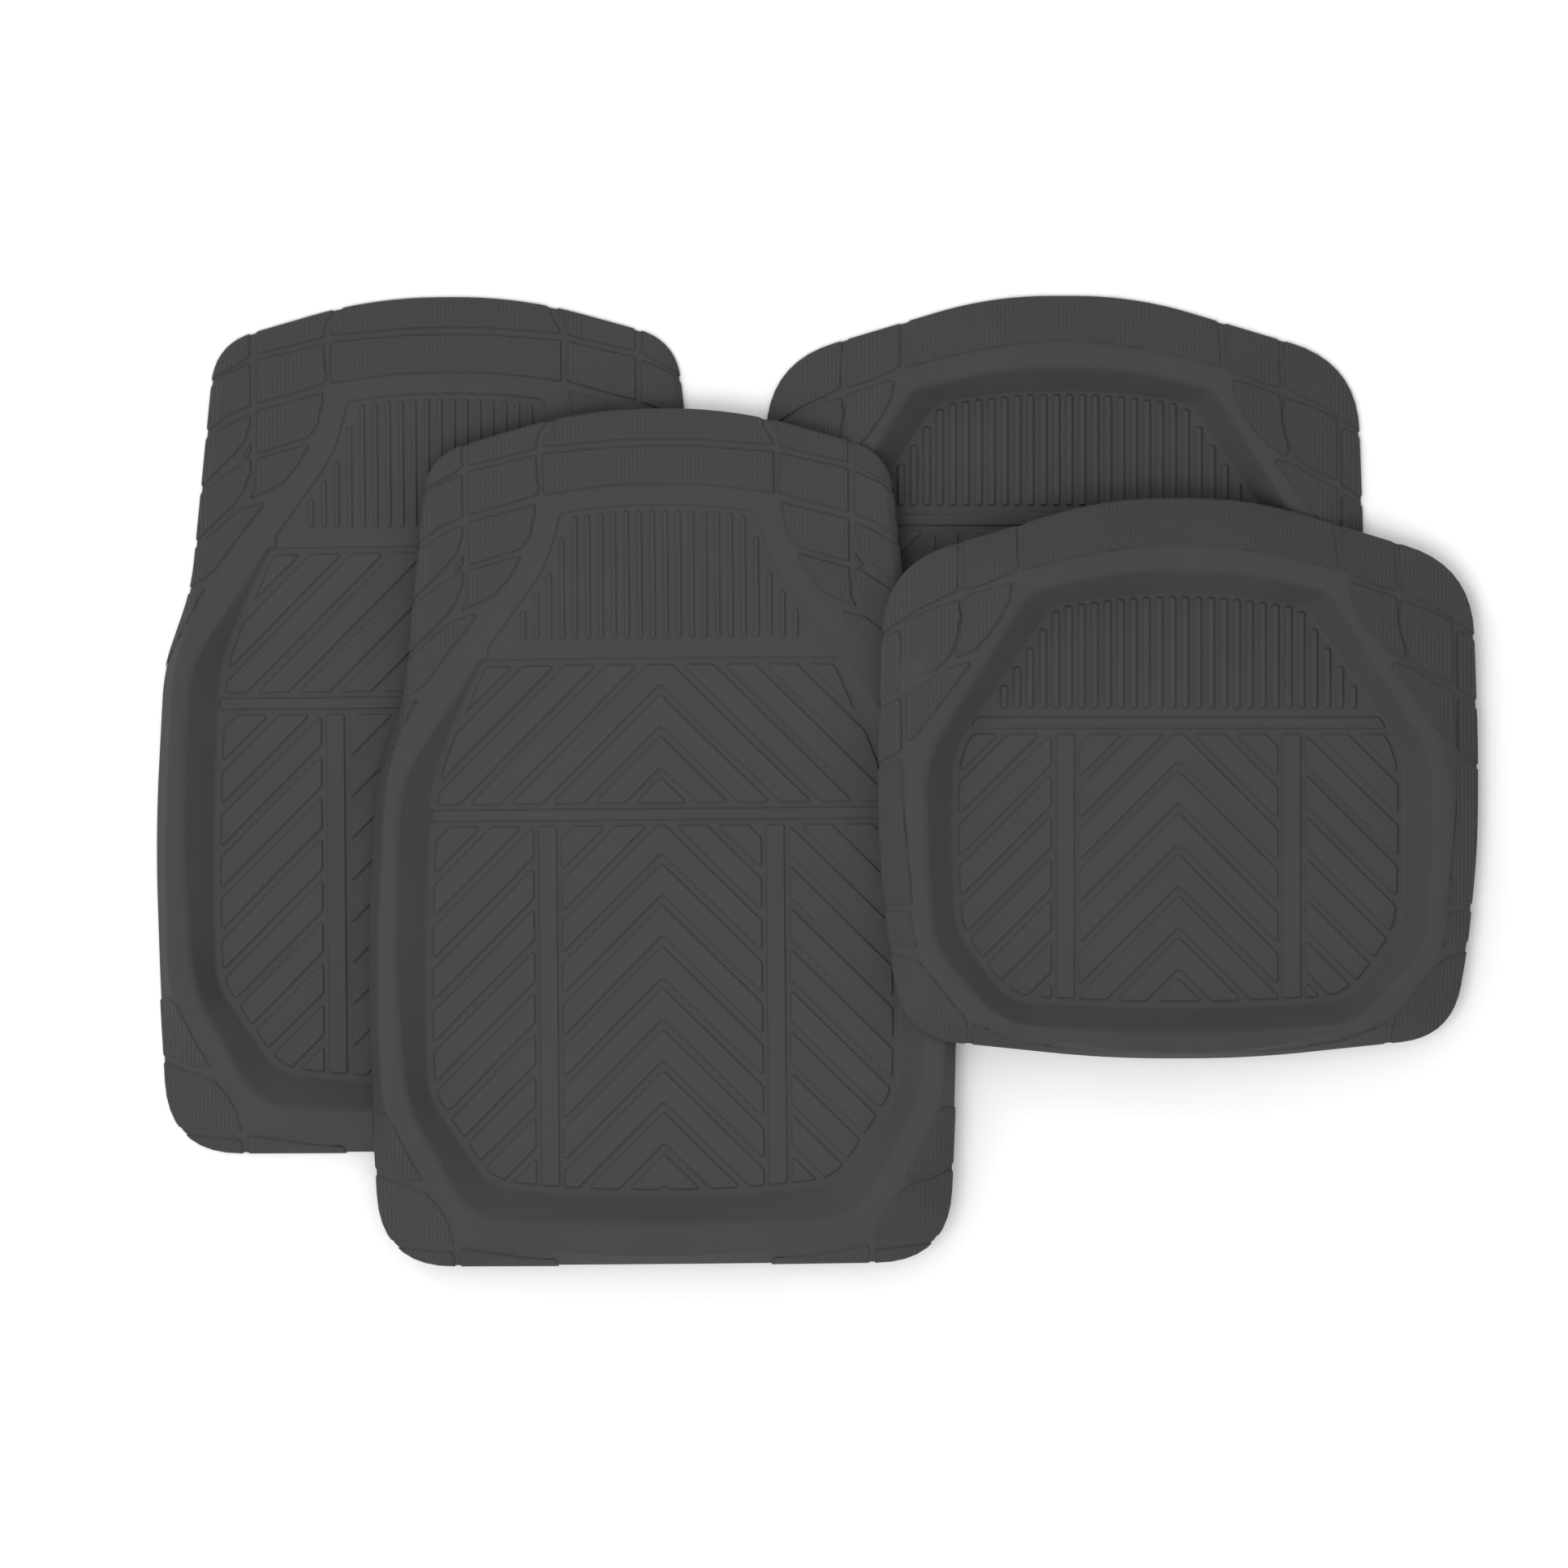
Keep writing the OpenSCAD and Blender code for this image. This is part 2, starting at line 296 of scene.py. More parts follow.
def mat_shell(name, outer, shoulder, rim, floor, top, under):
    """The skin of a mat through its four outlines, from the middle of the floor round and back below.

    A second skin is for the fields of the border to rest on: its skirt goes on past the edge.
    """
    outer, shoulder, rim, floor = outline(outer), outline(shoulder), outline(rim), outline(floor)
    outer = toward(outer, shoulder, EDGE_BACK)
    inner_floor = [p + (p - q).normalized() * FLOOR_LIP for p, q in zip(floor, rim)]
    upper = [lift(inner_floor, RUBBER), lift(floor, RUBBER), lift(rim, top), lift(shoulder, top)]
    edge = lift(outer, RUBBER)
    beyond = [p + (p - q) * OVERSHOOT / (p - q).xy.length for p, q in zip(edge, upper[-1])]
    lower = [edge, lift(outer, 0.0), lift(toward(outer, shoulder, RUBBER), 0.0),
             lift(toward(shoulder, rim, RUBBER), under), lift(rim, under), lift(floor, 0.0),
             lift(inner_floor, 0.0)]
    rest = skin(name + "_rest", upper + [beyond], SECTION_RADII)
    return skin(name, upper + lower, SECTION_RADII), rest


front_shell, front_rest = mat_shell(
    "front_shell", FRONT_OUTER, FRONT_SHOULDER, FRONT_RIM, FRONT_FLOOR, front_top, front_under)
rear_shell, rear_rest = mat_shell(
    "rear_shell", REAR_OUTER, REAR_SHOULDER, REAR_RIM, REAR_FLOOR, RIM_H, RIM_H - RUBBER)

# %% [markdown]
# ## The toe pocket
#
# The ribbed panel of the toe end lies in a shallow pocket with sloping sides, which opens towards the
# tray. A block with the pocket's shape is taken away from the shell: a flat face is extruded, its
# lower end shrinks a little so that the sides slope, and a Boolean modifier does the cut.

# %% Flat pieces and modifiers
def sheet(name, points, z):
    """A flat face in edit mode: a filled circle whose vertices are put on the points."""
    bpy.ops.mesh.primitive_circle_add(vertices=len(points), radius=BLANK_RADIUS, fill_type="NGON")
    obj = bpy.context.object
    obj.name = name
    edit(obj)
    mesh = bmesh.from_edit_mesh(obj.data)
    for v, p in zip(mesh.verts, points):
        v.co = (p[0], p[1], z)
    bmesh.update_edit_mesh(obj.data)
    bpy.ops.mesh.select_all(action="SELECT")
    bpy.ops.mesh.normals_make_consistent(inside=False)
    if bmesh.from_edit_mesh(obj.data).faces[:][0].normal.z < 0:
        bpy.ops.mesh.flip_normals()
    return obj


def apply(obj, kind, **settings):
    """Adds a modifier with its settings and applies it."""
    only(obj)
    modifier = obj.modifiers.new(kind.title(), kind)
    for key, value in settings.items():
        setattr(modifier, key, value)
    bpy.ops.object.modifier_apply(modifier=modifier.name)


# %% The pocket
POCKET_Z = TOE_H - TREAD_H
POCKET_SLOPE = 2.0
pocket = sheet("pocket", outline(TOE_PANEL), TOE_H)
bpy.ops.mesh.inset(thickness=POCKET_SLOPE, depth=-TREAD_H, use_even_offset=True)
pick("edges", lambda e: len(e.link_faces) == 1)
bpy.ops.mesh.extrude_edges_move(TRANSFORM_OT_translate={"value": (0, 0, 1)})
bpy.ops.mesh.edge_face_add()
bpy.ops.mesh.select_all(action="SELECT")
bpy.ops.mesh.normals_make_consistent(inside=False)
done(pocket)
apply(front_shell, "BOOLEAN", operation="DIFFERENCE", object=pocket, solver="MANIFOLD")
bpy.data.objects.remove(pocket)
print("front shell faces with the pocket:", len(front_shell.data.polygons))

# %% [markdown]
# ## The tread
#
# The raised tread is a flat pattern that stands 1.5 mm, and in places 2 mm, above the floor: rows of
# chevron tiles, long bars, cross bars and ribs. Each tile could be drawn on its own, but then their
# lines would hardly agree. Here the pattern is cut as a sheet of dough would be. A flat face with the
# shape of the floor is cut by straight lines, the channels between the lines are deleted, the corners
# are rounded, and what is left is extruded. Only the right half is cut, and then mirrored.

# %% Sizes of the tread
# A margin is the bare strip between a pattern and the edge of the floor, and an edge is the width of
# the chamfer round its top. The pattern starts a ROOT below the floor, so that no gap can show.
TREAD_MARGIN = 5.0
TILE_PITCH = 35.2
TILE_CHANNEL = 7.5
TILE_EDGE = 1.4
BAND = TILE_PITCH - TILE_CHANNEL
BAR_AT = 96.5
BAR_WIDTH = 16.5
BAR_CHANNEL = 3.1
BAR_IN = BAR_AT - BAR_WIDTH / 2
BAR_OUT = BAR_AT + BAR_WIDTH / 2
CROSS_MARGIN = 0.5
CROSS_WIDTH = 10.5
CROSS_GAP = 3.8
RIB_MARGIN = 1.0
RIB_PITCH = 11.0
RIB_GAP = 6.5
RIB_EDGE = 1.4
TOE_RIB = 5.0
BACK_RIB = 7.6
BACK_RIB_H = 2.0
BACK_RIB_EDGE = 2.0
ROOT = 1.0
print("a row of tiles is", round(BAND, 1), "wide, and a bar runs from", BAR_IN, "to", BAR_OUT)

# %% Cutting a flat pattern
# A line drawn at BEYOND misses the mat, so it stands for a side that isn't cut. What lies within
# ON_LINE of a line counts as on it.
BEYOND = 400.0
ON_LINE = 0.01
ZONE_STEPS = 3


def cut(x, y, normal, keep=None):
    """Cuts the whole sheet by an upright plane, and keeps both sides of it or only the one named."""
    bpy.ops.mesh.select_all(action="SELECT")
    bpy.ops.mesh.bisect(plane_co=(x, y, 0), plane_no=(normal[0], normal[1], 0),
                        clear_inner=keep == "front", clear_outer=keep == "back")


def drop(test):
    """Deletes the faces whose middle passes the test."""
    if pick("faces", lambda f: test(f.calc_center_median())):
        bpy.ops.mesh.delete(type="FACE")


def window(x0, x1, y0, y1):
    """Keeps only the part of the sheet between two lines each way."""
    cut(x0, 0, (1, 0), "front")
    cut(x1, 0, (1, 0), "back")
    cut(0, y0, (0, 1), "front")
    cut(0, y1, (0, 1), "back")


def chevrons(apex):
    """Cuts the channels between the rows of chevrons, one of which has its tip at y = apex."""
    first = math.floor((-BEYOND - apex) / TILE_PITCH)
    last = math.ceil((2 * BEYOND - apex) / TILE_PITCH)
    for row in range(first, last):
        for y in (apex + row * TILE_PITCH, apex + row * TILE_PITCH + BAND):
            cut(0, y, (1, 1))
    drop(lambda c: (c.x + c.y - apex) % TILE_PITCH > BAND)


def ribs(width):
    """Cuts ribs along the mat, a pitch apart, and squares their upper ends."""
    for i in range(math.ceil(BEYOND / RIB_PITCH)):
        middle = (i + 0.5) * RIB_PITCH
        cut(middle - width / 2, 0, (1, 0))
        cut(middle + width / 2, 0, (1, 0))
    drop(lambda c: abs(c.x % RIB_PITCH - RIB_PITCH / 2) > width / 2)
    for f in bmesh.from_edit_mesh(bpy.context.object.data).faces:
        side = max(v.co.x for v in f.verts)
        top = max(v.co.y for v in f.verts if v.co.x > side - ON_LINE)
        for v in f.verts:
            v.co.y = min(v.co.y, top)


def shrink(half, margin):
    """A half outline with every side moved inwards by a margin."""
    places = [Vector((x, y)) for x, y, reach in half]
    ends = [Vector((-p.x, p.y)) for p in (places[0], places[-1])]
    out = []
    for before, at, after, corner in zip([ends[0]] + places, places, places[1:] + [ends[1]], half):
        a, b = (at - before).normalized(), (after - at).normalized()
        inwards = Vector((a.y + b.y, -a.x - b.x)) / (1 + a.dot(b))
        out.append((*(at + inwards * margin), corner[2]))
    return out


def zone(half, margin, z):
    """The floor, or another outline, as a sheet smaller by a bare margin."""
    return sheet("tread", outline(shrink(half, margin), ZONE_STEPS), z - ROOT)


# %% Rounding the corners
# An entry rounds the corners between two angles, in degrees, by a distance. Sharp corners come first
# and get the most. A corner is left alone unless both of its sides are longer than CORNER_ROOM times
# the distance. Those whose sides are too short for one entry get less from a later one.
CORNERS = ((20, 75, 5.5), (75, 112, 2.6), (112, 160, 2.2), (20, 75, 4.2), (75, 112, 1.7))
RIB_CORNERS = ((20, 75, 3.0), (75, 160, 2.2))
CORNER_ROOM = 2.1
CORNER_SEGMENTS = 4


def bend_at(v):
    """The angle in degrees between the two edges of a loose outline's vertex."""
    if len(v.link_edges) != 2:
        return 180.0
    a, b = [e.other_vert(v).co - v.co for e in v.link_edges]
    return math.degrees(a.angle(b)) if a.length * b.length else 180.0


def round_corners(corners):
    """Replaces the corners of the flat faces in edit mode by short curves."""
    for low, high, offset in corners:
        found = pick("verts", lambda v: len(v.link_edges) == 2 and low <= bend_at(v) < high
                     and min(e.calc_length() for e in v.link_edges) > CORNER_ROOM * offset)
        if found:
            bpy.ops.mesh.bevel(offset=offset, segments=CORNER_SEGMENTS, affect="VERTICES",
                               clamp_overlap=False)


# %% Raising a pattern
# Points closer than SHORT_SIDE are merged, and pieces with less area than SLIVER are deleted. The
# chamfer round a top takes some length from every side. A side that is shorter than this would turn
# over and shade black, so it is collapsed beforehand, in a few passes because each changes the bends.
SLIVER = 45.0
SHORT_SIDE = 2.0
SPARE = 0.1
PASSES = 4
NEARLY_STRAIGHT = math.radians(6)


def drop_short_sides(edge):
    """Collapses the sides that are too short to keep their length under a sloping edge."""
    def needed(side):
        return SPARE + sum(edge / math.tan(math.radians(bend_at(v) / 2)) for v in side.verts)
    for _ in range(PASSES):
        if not pick("edges", lambda e: e.calc_length() < needed(e)):
            break
        bpy.ops.mesh.merge(type="COLLAPSE")


def raise_pattern(obj, height, edge, corners=CORNERS):
    """Mirrors a half pattern, rounds its corners, and raises it with softened top edges."""
    done(obj)
    apply(obj, "MIRROR", use_mirror_merge=True, merge_threshold=ON_LINE)
    edit(obj)
    pick("edges", lambda e: all(abs(v.co.x) < ON_LINE for v in e.verts))
    bpy.ops.mesh.dissolve_edges(use_verts=False)
    bpy.ops.mesh.select_all(action="SELECT")
    bpy.ops.mesh.dissolve_limited(angle_limit=NEARLY_STRAIGHT)
    bpy.ops.mesh.remove_doubles(threshold=SHORT_SIDE)
    if pick("faces", lambda f: f.calc_area() < SLIVER):
        bpy.ops.mesh.delete(type="FACE")
    drop_short_sides(edge)
    round_corners(corners)
    drop_short_sides(edge)
    pick("faces", lambda f: True)
    bpy.ops.mesh.extrude_region_move(TRANSFORM_OT_translate={"value": (0, 0, height + ROOT)})
    bpy.ops.mesh.region_to_loop()
    bpy.ops.mesh.bevel(offset=edge, segments=1, affect="EDGES", clamp_overlap=False)
    bpy.ops.mesh.select_all(action="SELECT")
    bpy.ops.mesh.normals_make_consistent(inside=False)
    return done(obj)


# %% Patterns that both mats have
def columns(half, apex, y1):
    """Tiles on the floor up to y1, in columns with a long bar between each two."""
    parts = []
    for x0, x1, tiled in ((0, BAR_IN - BAR_CHANNEL, True), (BAR_IN, BAR_OUT, False),
                          (BAR_OUT + BAR_CHANNEL, BEYOND, True)):
        obj = zone(half, TREAD_MARGIN, RUBBER)
        window(x0, x1, -BEYOND, y1)
        if tiled:
            chevrons(apex)
        parts.append(raise_pattern(obj, TREAD_H, TILE_EDGE))
    return parts


def cross_bar(half, y0, y1):
    """A bar across the whole floor from y0 to y1."""
    obj = zone(half, CROSS_MARGIN, RUBBER)
    window(0, BEYOND, y0, y1)
    return raise_pattern(obj, TREAD_H, RIB_EDGE)


# %% The tread of a front mat
# The tiles below the cross bar stand a little lower than the rows above it would put them.
FRONT_CROSS_Y = 20.8
FRONT_APEX = 130.8
APEX_STEP = 2.4
TOE_RIB_START = 16.0
TOE_RIB_COUNT = 11

low, high = FRONT_CROSS_Y - CROSS_WIDTH / 2, FRONT_CROSS_Y + CROSS_WIDTH / 2
front_tread = columns(FRONT_FLOOR, FRONT_APEX - APEX_STEP, low - CROSS_GAP)
upper = zone(FRONT_FLOOR, TREAD_MARGIN, RUBBER)
window(0, BEYOND, high + CROSS_GAP, TOE_Y)
chevrons(FRONT_APEX)
front_tread.append(raise_pattern(upper, TREAD_H, TILE_EDGE))
front_tread.append(cross_bar(FRONT_FLOOR, low, high))
toe_ribs = zone(TOE_PANEL, TREAD_MARGIN, POCKET_Z)
window(0, TOE_RIB_COUNT * RIB_PITCH, TOE_Y + TOE_RIB_START, BEYOND)
ribs(TOE_RIB)
front_tread.append(raise_pattern(toe_ribs, TREAD_H, RIB_EDGE, RIB_CORNERS))
print("front tread faces:", sum(len(o.data.polygons) for o in front_tread))

# %% The tread of a rear mat
REAR_CROSS_Y = 47.5
REAR_APEX = 155.6

low, high = REAR_CROSS_Y - CROSS_WIDTH / 2, REAR_CROSS_Y + CROSS_WIDTH / 2
rear_tread = columns(REAR_FLOOR, REAR_APEX, low - CROSS_GAP)
rear_tread.append(cross_bar(REAR_FLOOR, low, high))
back_ribs = zone(REAR_FLOOR, RIB_MARGIN, RUBBER)
window(0, BEYOND, high + RIB_GAP, BEYOND)
ribs(BACK_RIB)
rear_tread.append(raise_pattern(back_ribs, BACK_RIB_H, BACK_RIB_EDGE, RIB_CORNERS))
print("rear tread faces:", sum(len(o.data.polygons) for o in rear_tread))

# %% [markdown]
# ## The ribbed border
#
# Round the tray, the skirt and the toe end carry low raised fields with fine ribs along the mat, and
# smooth channels between them. Each field is a flat face drawn over the mat by its corners, and where
# it reaches the edge of the mat it follows the outer outline. The faces are cut into rib strips,
# dropped on to the shell by a Shrinkwrap modifier, and extruded twice: once for the field, whose outer
# loop is then lowered so that its side slopes, and once for the ribs. A texture could fake such ribs,
# but only real ones catch the light along their sides.

# %% The fields of a front mat: corners on the right half
# An "edge" field meets the outer edge of the mat near its last and its first corner, and follows it
# between the two. The fields on the middle line start just past it, and are cut there and mirrored.
FRONT_FIELDS = [
    ("edge", [(-6, 364), (-6, 339), (37, 338), (71, 335), (98, 333), (97, 338), (90, 349), (88, 357)]),
    ("edge", [(93, 356), (101, 344), (103.5, 331.5), (133, 324), (161.5, 317.5), (161.5, 338)]),
    ("edge", [(166, 337), (166, 316.5), (175, 310), (194, 300), (203, 296)]),
    ("closed", [(-6, 300.5), (37, 300), (71, 296), (98, 292), (98, 328), (71, 330), (37, 333),
                (-6, 334)]),
    ("closed", [(102, 294), (104, 292), (133, 283), (161.5, 275.5), (161.5, 313), (133, 319.5),
                (103, 327)]),
    ("edge", [(204, 291), (190, 300), (166, 311), (166, 274), (185, 266), (207, 252)]),
    ("closed", [(104, 285), (106, 271), (109, 258), (116, 247), (128, 243), (161.5, 233),
                (161.5, 270)]),
    ("edge", [(206, 247), (185, 258.5), (166, 268), (167, 257), (171, 244), (178, 235), (188, 225),
              (210, 204)]),
    ("closed", [(166, 243), (166, 235), (170, 229), (174, 230)]),
    ("closed", [(116, 242), (126, 223), (139, 208), (150, 202), (169, 194), (163.5, 203),
                (161.5, 229)]),
    ("edge", [(211, 200), (185, 218), (166, 230), (167, 216), (172.5, 201), (181.5, 189), (215, 158)]),
    ("edge", [(216, 154), (192, 173), (175, 187), (153, 192.5), (181.5, 156), (197, 135), (206, 127),
              (219, 120)]),
    ("edge", [(220, 114), (205, 121), (214, 104.5), (226, 82), (238, 52)]),
    ("edge", [(247, -229), (238, -229), (233, -234), (226, -246), (216, -267), (204, -287),
              (212.5, -287.5), (226, -285), (245, -278)]),
    ("edge", [(245, -281), (228, -289), (216, -292), (201, -299), (190, -311), (183, -323),
              (180, -334), (179, -344), (199, -341), (226, -335)]),
    ("edge", [(222, -340), (179, -349.5), (178, -364)]),
    ("edge", [(174, -364), (172.5, -346), (147, -350), (119, -354), (92, -356), (90, -364)]),
]

# %% The fields of a rear mat: corners on the right half
REAR_FIELDS = [
    ("edge", [(-6, 240), (-6, 200), (34.5, 197), (69, 192), (103.5, 184), (134, 176.5), (132.5, 219)]),
    ("edge", [(138, 217), (138, 178.5), (145, 173), (172.5, 162), (185, 159.5), (185, 206)]),
    ("edge", [(189, 204), (189, 159), (207, 150), (224, 142), (241.5, 130), (252, 122)]),
    ("closed", [(143, 167), (146, 150), (155, 133), (166, 118), (176, 108), (190, 102), (192, 106),
                (186, 130), (184.5, 154), (165, 160.5)]),
    ("closed", [(188, 152), (186, 137), (190, 116), (197, 101), (207, 92), (233, 80), (233, 133),
                (214, 143)]),
    ("edge", [(253, 118), (237, 127), (237, 76), (245, 72), (257, 65)]),
    ("closed", [(181, 99), (179, 96), (193, 78), (207, 59), (221, 41), (229, 32), (233, 33),
                (233, 74.5), (214, 83), (197, 94)]),
    ("edge", [(258, 60), (237, 70), (237, 24), (258, 12)]),
    ("edge", [(258, 8), (238, 18), (236, 14), (235, -29), (230, -84), (228, -106), (252, -107)]),
    ("edge", [(251, -112), (230, -112), (224, -143), (248, -139)]),
    ("edge", [(247, -147), (224, -153), (219, -158), (207, -172.5), (193, -191), (183, -201.5),
              (181, -210), (181, -229)]),
    ("edge", [(177, -230), (177, -206), (159, -214), (138, -221.5), (103.5, -227), (69, -230),
              (-6, -231.5), (-6, -238)]),
]

# %% Fields that follow the edge
def nearest_on(line, p):
    """How far along a closed line of points the place nearest to p is: index plus share."""
    best = (math.inf, 0.0)
    for i, a in enumerate(line):
        side = line[(i + 1) % len(line)] - a
        if side.length == 0:
            continue
        share = min(1.0, max(0.0, (p - a).dot(side) / side.length_squared))
        best = min(best, ((a + side * share - p).length, i + share))
    return best[1]


def point_on(line, at):
    """The point of a closed line at such an index plus share."""
    i = math.floor(at)
    return mix(line[i % len(line)], line[(i + 1) % len(line)], at - i)


def stretch(line, p, q):
    """The points of a closed line from the place nearest to p to the one nearest to q, the short way."""
    start, end, count = nearest_on(line, p), nearest_on(line, q), len(line)
    if (end - start) % count < count / 2:
        end = start + (end - start) % count
        steps = range(math.floor(start) + 1, math.ceil(end))
    else:
        end = start - (start - end) % count
        steps = range(math.ceil(start) - 1, math.floor(end), -1)
    return [point_on(line, start)] + [line[i % count] for i in steps] + [point_on(line, end)]


def field_points(kind, corners, line):
    """The outline of a field: its corners, and for an "edge" field its stretch of the outer edge."""
    corners = [Vector(c) for c in corners]
    if kind == "closed":
        return corners
    along = stretch(line, corners[-1], corners[0])
    return along + corners[1:-1]


print("front fields:", len(FRONT_FIELDS), "rear fields:", len(REAR_FIELDS))

# %% Drawing and cutting the fields
# The sheets start above the whole mat. The cuts across, a DROP_STEP apart, let them bend to its shape.
SHEET_Z = 60.0
FIELD_CORNERS = ((15, 65, 4.5), (65, 150, 2.2))
FIELD_LIP = 1.4
FINE_PITCH = 3.5
FINE_WIDTH = 2.0
DROP_STEP = 14.0


def field_sheets(name, fields, outer):
    """The fields of the right half as one object of flat faces with rounded corners."""
    line = outline(outer)
    sheets = []
    for kind, corners in fields:
        obj = sheet(name, field_points(kind, corners, line), SHEET_Z)
        round_corners(FIELD_CORNERS)
        sheets.append(done(obj))
    only(*sheets)
    bpy.ops.object.join()
    return bpy.context.object


def cut_fields(obj, length, width):
    """Marks the inside of each field as ribbed, and cuts the fields along the ribs and across."""
    edit(obj)
    pick("faces", lambda f: True)
    bpy.ops.mesh.inset(thickness=FIELD_LIP, use_even_offset=True)
    mesh = bmesh.from_edit_mesh(obj.data)
    ribbed = mesh.faces.layers.int.new("ribbed")
    for f in mesh.faces:
        f[ribbed] = 1 if f.select else 0
    cut(0, 0, (1, 0), "front")
    for i in range(math.ceil(width / FINE_PITCH)):
        middle = (i + 0.5) * FINE_PITCH
        cut(middle - FINE_WIDTH / 2, 0, (1, 0))
        cut(middle + FINE_WIDTH / 2, 0, (1, 0))
    for i in range(math.ceil(2 * length / DROP_STEP)):
        cut(0, -length + i * DROP_STEP, (0, 1))
    done(obj)


# %% Dropping and raising the fields
# The fields start a FIELD_ROOT below the skin, though never lower than LOWEST above the carpet. Only
# faces that look up count as ribs, which leaves out the sloping sides of the fields.
FIELD_H = 1.6
FIELD_ROOT = 0.5
LOWEST = 0.3
LIP_DROP = 1.4
FINE_H = 0.3
LOOKS_UP = 0.2
LOOKS_SIDEWAYS = 0.99


def is_rib(f, ribbed):
    """Whether a face of a field is the top of one of its fine ribs."""
    from_middle = abs(f.calc_center_median().x % FINE_PITCH - FINE_PITCH / 2)
    top = f[ribbed] == 1 and f.normal.z > LOOKS_UP and abs(f.normal.x) < LOOKS_SIDEWAYS
    return top and from_middle < FINE_WIDTH / 2


def raise_fields(obj):
    """Raises the fields with a slope round them, and then their fine ribs."""
    edit(obj)
    for v in bmesh.from_edit_mesh(obj.data).verts:
        v.co.z = max(v.co.z - FIELD_ROOT, LOWEST)
    pick("faces", lambda f: True)
    bpy.ops.mesh.extrude_region_move(TRANSFORM_OT_translate={"value": (0, 0, FIELD_ROOT + FIELD_H)})
    bpy.ops.mesh.region_to_loop()
    bpy.ops.transform.translate(value=(0, 0, -LIP_DROP))
    ribbed = bmesh.from_edit_mesh(obj.data).faces.layers.int["ribbed"]
    pick("faces", lambda f: is_rib(f, ribbed))
    bpy.ops.mesh.extrude_region_move(TRANSFORM_OT_translate={"value": (0, 0, FINE_H)})
    bpy.ops.mesh.select_all(action="SELECT")
    bpy.ops.mesh.normals_make_consistent(inside=False)
    done(obj)


def border(name, fields, outer, shell, length, width):
    """All raised fields of a mat, as one object on its shell. Length and width are half the mat's."""
    obj = field_sheets(name, fields, outer)
    cut_fields(obj, length, width)
    apply(obj, "MIRROR", use_mirror_merge=True, merge_threshold=ON_LINE)
    apply(obj, "SHRINKWRAP", target=shell, wrap_method="PROJECT", use_project_z=True,
          use_negative_direction=True, use_positive_direction=False)
    raise_fields(obj)
    obj.data.attributes.remove(obj.data.attributes["ribbed"])
    bpy.data.objects.remove(shell)
    print(name, "faces:", len(obj.data.polygons))
    return obj


front_border = border("front_border", FRONT_FIELDS, FRONT_OUTER, front_rest, length=370, width=252)
rear_border = border("rear_border", REAR_FIELDS, REAR_OUTER, rear_rest, length=240, width=258)

# %% [markdown]
# ## From parts to mats
#
# Shell, tread and border are joined into one moulding. The model is in millimetres and lies at the
# origin, so every copy is scaled to metres and turned as its mat lies. The upper rear mat leans on its
# neighbours. The copy is then moved until it stands as low as its solid in the frame, and until its
# middle, seen from above, is that of the solid.

# %% Join each mat
SMOOTH_ANGLE = math.radians(32)


def moulding(name, parts):
    """Joins the parts of a mat, and shades soft bends smooth while sharp edges stay sharp."""
    only(*parts)
    bpy.ops.object.join()
    obj = bpy.context.object
    obj.name = name
    bpy.ops.object.shade_smooth_by_angle(angle=SMOOTH_ANGLE)
    apply(obj, "WEIGHTED_NORMAL", keep_sharp=True)
    print(name, "triangles:", sum(len(p.vertices) - 2 for p in obj.data.polygons))
    return obj


front_mat = moulding("front_mat", [front_shell, front_border, *front_tread])
rear_mat = moulding("rear_mat", [rear_shell, rear_border, *rear_tread])

# %% Lay the copies, in metres
MILLIMETRE = 0.001
FRONT_TURN = math.radians(0.5)
LEAN = math.radians(4.195)
PLACES = [
    ("front_mat_lower", front_mat, Matrix.Rotation(FRONT_TURN, 4, "Z")),
    ("front_mat_upper", front_mat, Matrix.Rotation(FRONT_TURN, 4, "Z")),
    ("rear_mat_lower", rear_mat, Matrix.Identity(4)),
    ("rear_mat_upper", rear_mat, Matrix.Rotation(LEAN, 4, "Y")),
]


def span(points):
    """The least and the greatest of the points' x, y and z."""
    return [(min(p[i] for p in points), max(p[i] for p in points)) for i in range(3)]


mats = []
for node, source, turn in PLACES:
    mat = source.copy()
    mat.data = source.data.copy()
    mat.name = node + "_moulding"
    bpy.context.scene.collection.objects.link(mat)
    mat.data.transform(turn @ Matrix.Scale(MILLIMETRE, 4))
    low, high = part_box(node)
    own = span([v.co for v in mat.data.vertices])
    shift = Vector([(low[i] + high[i] - own[i][0] - own[i][1]) / 2 for i in range(3)])
    shift.z = low.z - own[2][0]
    mat.data.transform(Matrix.Translation(shift))
    mats.append(mat)
    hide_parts(node)
    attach(mat, node)
    print(mat.name, "moved by", [round(c / MILLIMETRE, 2) for c in shift])
bpy.data.objects.remove(front_mat)
bpy.data.objects.remove(rear_mat)

# %% [markdown]
# ## The material
#
# The mats are moulded rubber, filled with carbon black. Rubber from a lightly blasted mould is matt
# and dark grey under soft light, with a fine even grain and no colour of its own. One material serves
# all four. Its grain is a fine noise for the bump, drawn coarser than the real one so that it shows
# at all. A second, broader noise changes the roughness and the grey a little, as handling does. Both
# read object coordinates in metres, so their scales follow from sizes in millimetres.

# %% Colours and shader nodes
def srgb(code):
    """A colour from its hex code, made linear."""
    values = [int(code[i:i + 2], 16) / 255 for i in (1, 3, 5)]
    linear = [v / 12.92 if v <= 0.04045 else ((v + 0.055) / 1.055) ** 2.4 for v in values]
    return (*linear, 1.0)


